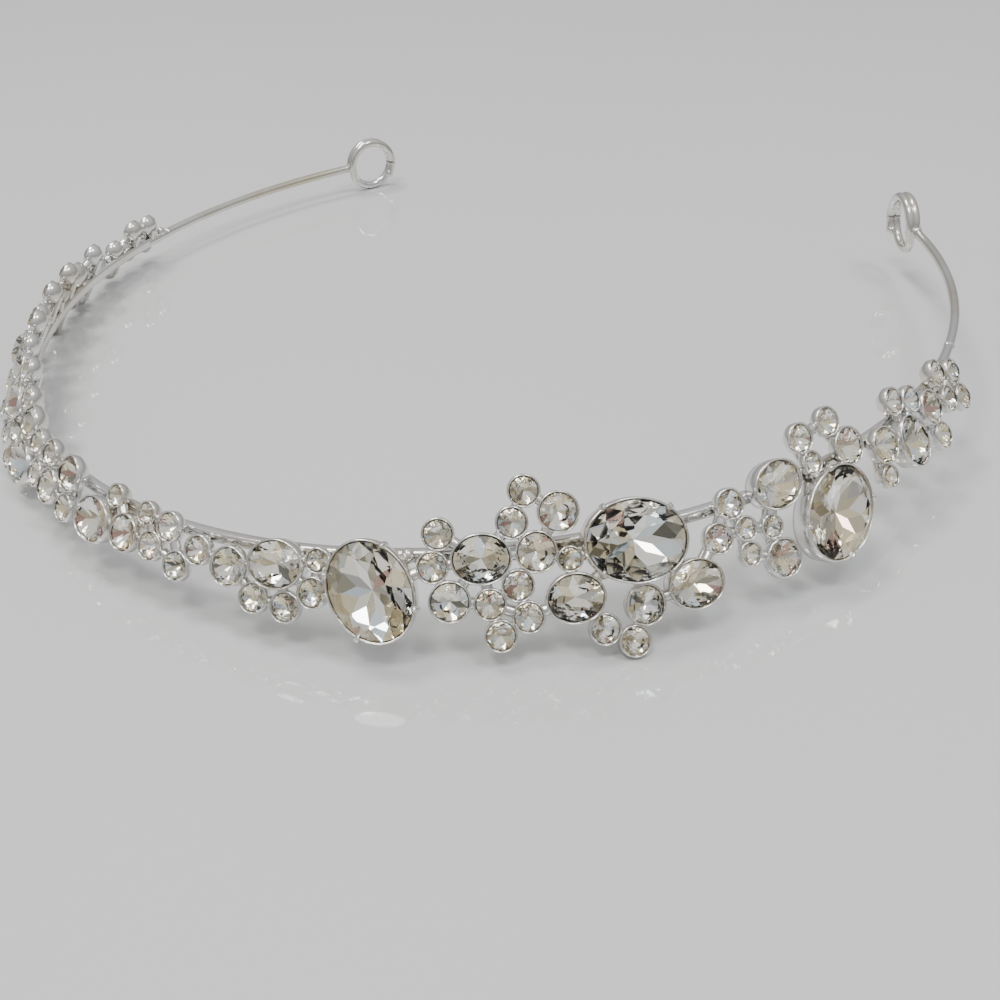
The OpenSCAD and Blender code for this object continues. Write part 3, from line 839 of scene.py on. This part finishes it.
def stone_tree():
    """A master stone on each point. Each facet gets its own random number, which picks its glass tint and
    its foil's colour with its painted shade and reflections; the pavilion gets its foil.
    """
    graph, given = geometry_tree("set_stone", {
        "Cut": "NodeSocketObject", "Seed": "NodeSocketInt", "Glass": "NodeSocketMaterial",
        "Foil": "NodeSocketMaterial"})
    master = graph.node("GeometryNodeObjectInfo", {"transform_space": "ORIGINAL"}, {"Object": given["Cut"]})
    placed = graph.node("GeometryNodeInstanceOnPoints", {},
                        {"Points": given["Geometry"], "Instance": master.outputs["Geometry"],
                         "Rotation": named(graph, "turn", "QUATERNION"),
                         "Scale": named(graph, "size", "FLOAT_VECTOR")})
    realized = graph.node("GeometryNodeRealizeInstances", {}, {"Geometry": placed})
    chance = graph.node("FunctionNodeRandomValue", {"data_type": "FLOAT"}, {"Seed": given["Seed"]})
    shade = graph.node("GeometryNodeStoreNamedAttribute", {"data_type": "FLOAT", "domain": "FACE"},
                       {"Geometry": realized, "Name": "shade"})
    shade_value = next(s for s in shade.inputs if s.name == "Value" and s.enabled)
    graph.tree.links.new(chance.outputs[1], shade_value)
    foiled = graph.node("FunctionNodeCompare", {"data_type": "FLOAT", "operation": "GREATER_THAN"},
                        {0: named(graph, "foil", "FLOAT"), 1: 0.5}).outputs[0]
    clear = graph.node("GeometryNodeSetMaterial", {}, {"Geometry": shade, "Material": given["Glass"]})
    backed = graph.node("GeometryNodeSetMaterial", {},
                        {"Geometry": clear, "Selection": foiled, "Material": given["Foil"]})
    graph.node("NodeGroupOutput", {}, {"Geometry": backed})
    return graph.tree


def facet_shade(graph):
    """The facet's own random number, from 0 to 1, that picks its glass tint and its foil's colour with its
    painted shade and reflections.
    """
    return Number(graph, graph.node("ShaderNodeAttribute", {"attribute_name": "shade"}).outputs["Fac"])


CLEAR, CHAMPAGNE = (1.0, 1.0, 0.99), (0.96, 0.93, 0.85)
# Lower than real glass, so that the foil's facets stay as large to the eye as in the real stones.
GLASS_IOR = 1.32
MARK_SCALE, MARK_EDGE, MARK_DULLNESS = 420.0, (0.62, 0.1), 0.03
FOIL_ROUGHNESS, RIPPLE_DULLNESS, RIPPLE_SCALE = 0.03, 0.05, 500.0
# Colours of the foil's facets: silver and champagne foil, grey and dark painted shade, and brown and blue
# painted reflections of the room. Columns: share of the facets from which the colour holds, colour.
FOIL_AND_PAINTED_REFLECTION_COLOURS = [
    (0.0, (0.97, 0.97, 0.97)), (0.30, (0.90, 0.87, 0.79)), (0.50, (0.82, 0.74, 0.55)),
    (0.72, (0.56, 0.52, 0.42)), (0.86, (0.26, 0.25, 0.22)), (0.90, (0.48, 0.32, 0.28)),
    (0.94, (0.78, 0.88, 0.97))]


def stone_glass():
    """Clear polished glass with the faintest champagne cast and a few fine wipe marks."""
    material, graph, shader = new_material("clear_cut_glass")
    place = graph.node("ShaderNodeTexCoord").outputs["Object"]
    marks = graph.number("ShaderNodeTexNoise", {}, {"Vector": place, "Scale": MARK_SCALE, "Detail": 3.0})
    colour = graph.node("ShaderNodeMix", {"data_type": "RGBA"},
                        {0: facet_shade(graph), 6: (*CLEAR, 1), 7: (*CHAMPAGNE, 1)}).outputs[2]
    set_sockets(graph, shader, {
        "Base Color": colour,
        "Roughness": marks.above(*MARK_EDGE) * MARK_DULLNESS,
        "IOR": GLASS_IOR,
        "Transmission Weight": 1.0,
    })
    return material


def stone_foil():
    """Mirror foil behind the glass, in silver and champagne, with painted shade in grey and dark facets and
    painted reflections in a few brown and blue facets.
    """
    material, graph, shader = new_material("mirror_foil_and_painted_reflections")
    ramp = graph.node("ShaderNodeValToRGB", {"stops": FOIL_AND_PAINTED_REFLECTION_COLOURS}, {0: facet_shade(graph)})
    ramp.color_ramp.interpolation = "CONSTANT"
    place = graph.node("ShaderNodeTexCoord").outputs["Object"]
    ripple = graph.number("ShaderNodeTexNoise", {}, {"Vector": place, "Scale": RIPPLE_SCALE, "Detail": 2.0})
    set_sockets(graph, shader, {
        "Base Color": ramp.outputs[0],
        "Metallic": 1.0,
        "Roughness": FOIL_ROUGHNESS + ripple * RIPPLE_DULLNESS,
    })
    return material


GLASS, FOIL = stone_glass(), stone_foil()
SET_STONE = stone_tree()
ROUND_CUT = cut_stone("round_cut", ROUND_CORNERS, ROUND_CROWN, ROUND_PAVILION, ROUND_GIRDLE, ROUND_DEPTH)
LARGE_CUT = cut_stone("large_cut", LARGE_CORNERS, LARGE_CROWN, LARGE_PAVILION, LARGE_GIRDLE, LARGE_DEPTH)


def turned(seat, number):
    """A round stone sits at whatever turn it was dropped in; an oval keeps its own."""
    if seat.length > ROUND_RATIO * seat.width:
        return seat
    spin = Matrix.Rotation(2 * math.pi * TURN_SHARE * number, 3, "Z")
    return seat._replace(turn=seat.turn @ spin)


for number, node in enumerate(STONE_NODES):
    seats = [turned(seat, number + i) for i, seat in enumerate(SEATS[node])]
    mesh = seat_points("stone_places", seats, [on_axis(seat, 0) for seat in seats],
                       [(seat.width, seat.length, seat.crown) for seat in seats])
    cut = LARGE_CUT if seats[0].kind == LARGE else ROUND_CUT
    stones = grown(node.replace("stone", "cut_stone"), SET_STONE, mesh, {
        "Cut": cut, "Seed": number, "Glass": GLASS, "Foil": FOIL})
    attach(stones, "root")
    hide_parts(node)
for master in (ROUND_CUT, LARGE_CUT):
    bpy.data.objects.remove(master)

# Table: a plain pale lacquered top, glossy enough to mirror the headband softly.
TABLE_SIZE = 3.0
TABLE_DARK, TABLE_LIGHT = (0.64, 0.645, 0.64), (0.70, 0.705, 0.70)
TABLE_IOR = 1.75
TABLE_ROUGHNESS, TABLE_DULLNESS, TABLE_CLOUDS = 0.03, 0.03, 6.0


def table_top():
    """A square top with its face at height 0."""
    material, graph, shader = new_material("pale_lacquer")
    place = graph.node("ShaderNodeTexCoord").outputs["Object"]
    clouds = graph.number("ShaderNodeTexNoise", {}, {"Vector": place, "Scale": TABLE_CLOUDS, "Detail": 2.0})
    colour = graph.node("ShaderNodeMix", {"data_type": "RGBA"},
                        {0: clouds, 6: (*TABLE_DARK, 1), 7: (*TABLE_LIGHT, 1)}).outputs[2]
    set_sockets(graph, shader, {
        "Base Color": colour,
        "Roughness": TABLE_ROUGHNESS + clouds * TABLE_DULLNESS,
        "IOR": TABLE_IOR,
    })
    mesh = bpy.data.meshes.new("table_top")
    half = TABLE_SIZE / 2
    mesh.from_pydata([(-half, -half, 0), (half, -half, 0), (half, half, 0), (-half, half, 0)], [],
                     [(0, 1, 2, 3)])
    mesh.materials.append(material)
    top = bpy.data.objects.new("table_top", mesh)
    bpy.context.scene.collection.objects.link(top)


table_top()

# Light: plain soft studio light, three panels high above the table on the left, the right and the camera's
# side, in a pale room that darkens to its floor and leaves dark facets in the stones.
# Columns: name, place, point it faces, width, height, watts, colour.
PANELS = [
    ("left_panel", (-0.50, 0.10, 1.20), (0, 0, 0), 0.40, 0.30, 6, (1.0, 0.99, 0.97)),
    ("right_panel", (0.50, 0.0, 1.20), (0, 0, 0), 0.25, 0.35, 4, (0.93, 0.97, 1.0)),
    ("front_panel", (-0.05, -0.48, 1.20), (0, 0, 0), 0.35, 0.25, 5, (1.0, 0.98, 0.95)),
]
# The room from its floor at 0 to its ceiling at 1. Columns: height, colour.
ROOM = [(0.0, (0.24, 0.24, 0.24)), (0.50, (0.38, 0.38, 0.38)), (0.60, (0.52, 0.525, 0.53)),
        (0.80, (0.78, 0.785, 0.79)), (1.0, (1.0, 1.0, 1.0))]
ROOM_STRENGTH = 0.9

for name, place, target, width, height, watts, colour in PANELS:
    light = bpy.data.lights.new(name, "AREA")
    light.shape = "RECTANGLE"
    light.size, light.size_y = width, height
    light.energy = watts
    light.color = colour
    panel = bpy.data.objects.new(name, light)
    panel.location = place
    panel.rotation_euler = (Vector(target) - Vector(place)).to_track_quat("-Z", "Y").to_euler()
    bpy.context.scene.collection.objects.link(panel)

world = bpy.data.worlds.new("room")
world.use_nodes = True
sky = Graph(world.node_tree)
direction = sky.node("ShaderNodeTexCoord").outputs["Generated"]
height = sky.node("ShaderNodeSeparateXYZ", {}, {0: direction}).outputs["Z"]
share = Number(sky, height) * 0.5 + 0.5
room = sky.node("ShaderNodeValToRGB", {"stops": ROOM}, {0: share})
set_sockets(sky, world.node_tree.nodes["Background"], {"Color": room.outputs[0], "Strength": ROOM_STRENGTH})
bpy.context.scene.world = world

# Camera: at the photograph's own viewing angle, a hand-held view from close by on the front's right.
CAMERA_PLACE = (83.37 * MM, -147.78 * MM, 92.93 * MM)
CAMERA_ANGLES = (55.604, 1.183, 26.825)
FOCAL_LENGTH, SENSOR = 46.51, 36.0
NEAREST = 0.005

lens = bpy.data.cameras.new("photo_camera")
lens.lens = FOCAL_LENGTH
lens.sensor_width = SENSOR
lens.clip_start = NEAREST
camera = bpy.data.objects.new("photo_camera", lens)
camera.location = CAMERA_PLACE
camera.rotation_euler = [math.radians(a) for a in CAMERA_ANGLES]
bpy.context.scene.collection.objects.link(camera)
bpy.context.scene.camera = camera

bpy.context.view_layer.update()
